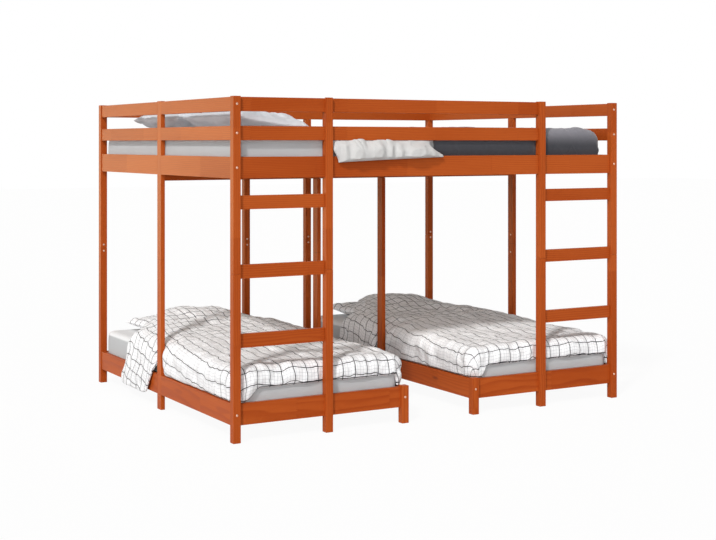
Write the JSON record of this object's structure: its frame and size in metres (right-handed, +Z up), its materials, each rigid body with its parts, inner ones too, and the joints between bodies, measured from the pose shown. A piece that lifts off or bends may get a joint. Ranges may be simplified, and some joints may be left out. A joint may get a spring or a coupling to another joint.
{
  "type": "triple bunk bed",
  "caption": "Low timber bunk bed: separate single beds side by side under a wide upper bed with guard rails, a ladder at each front corner, mattresses, pillows and bedding.",
  "frame": {"origin": "on the floor, in the middle of the frame", "axes": "+X to the right along the front, seen by a person facing the ladders; +Y from the front to the back; +Z up"},
  "size_m": [2.0736, 1.7061, 1.44],
  "materials": {
    "stained_wood": "red-brown stained pine, satin",
    "slat_wood": "plain sawn pine with woven tape",
    "mattress_ticking": "pale grey woven cover",
    "pale_cotton": "smooth light cotton",
    "check_cotton": "white cotton with a thin windowpane check",
    "dark_cotton": "charcoal cotton"
  },
  "bodies": {
    "root": {"front_left_post_lower": "stained_wood", "front_left_post_upper": "stained_wood", "front_right_post_lower": "stained_wood", "front_right_post_upper": "stained_wood", "back_left_post_lower": "stained_wood", "back_left_post_upper": "stained_wood", "back_right_post_lower": "stained_wood", "back_right_post_upper": "stained_wood", "left_ladder_post_lower": "stained_wood", "left_ladder_post_upper": "stained_wood", "right_ladder_post_lower": "stained_wood", "right_ladder_post_upper": "stained_wood", "left_end_middle_post": "stained_wood", "left_bed_back_post": "stained_wood", "left_bed_middle_post": "stained_wood", "left_bed_foot_post": "stained_wood", "right_end_middle_post": "stained_wood", "right_bed_back_post": "stained_wood", "right_bed_middle_post": "stained_wood", "right_bed_foot_post": "stained_wood", "left_bed_foot_rail": "stained_wood", "left_bed_head_rail": "stained_wood", "left_bed_outer_rail": "stained_wood", "left_bed_inner_rail": "stained_wood", "left_end_top_rail": "stained_wood", "left_end_mid_rail": "stained_wood", "left_end_bed_rail": "stained_wood", "left_ladder_rung_1": "stained_wood", "left_ladder_rung_2": "stained_wood", "left_ladder_rung_3": "stained_wood", "right_bed_foot_rail": "stained_wood", "right_bed_head_rail": "stained_wood", "right_bed_outer_rail": "stained_wood", "right_bed_inner_rail": "stained_wood", "right_end_top_rail": "stained_wood", "right_end_mid_rail": "stained_wood", "right_end_bed_rail": "stained_wood", "right_ladder_rung_1": "stained_wood", "right_ladder_rung_2": "stained_wood", "right_ladder_rung_3": "stained_wood", "front_top_rail": "stained_wood", "front_mid_rail": "stained_wood", "front_bed_rail": "stained_wood", "back_top_rail": "stained_wood", "back_mid_rail": "stained_wood", "back_bed_rail": "stained_wood", "centre_beam": "stained_wood", "left_bed_slats": "slat_wood", "left_bed_mattress": "mattress_ticking", "right_bed_slats": "slat_wood", "right_bed_mattress": "mattress_ticking", "upper_bed_slats": "slat_wood", "upper_bed_mattress": "mattress_ticking", "upper_bed_front_pillow": "pale_cotton", "upper_bed_back_pillow": "pale_cotton", "left_bed_pillow": "check_cotton", "right_bed_pillow": "check_cotton", "left_bed_duvet": "check_cotton", "right_bed_duvet": "check_cotton", "upper_bed_quilt": "dark_cotton"}
  },
  "joints": []
}
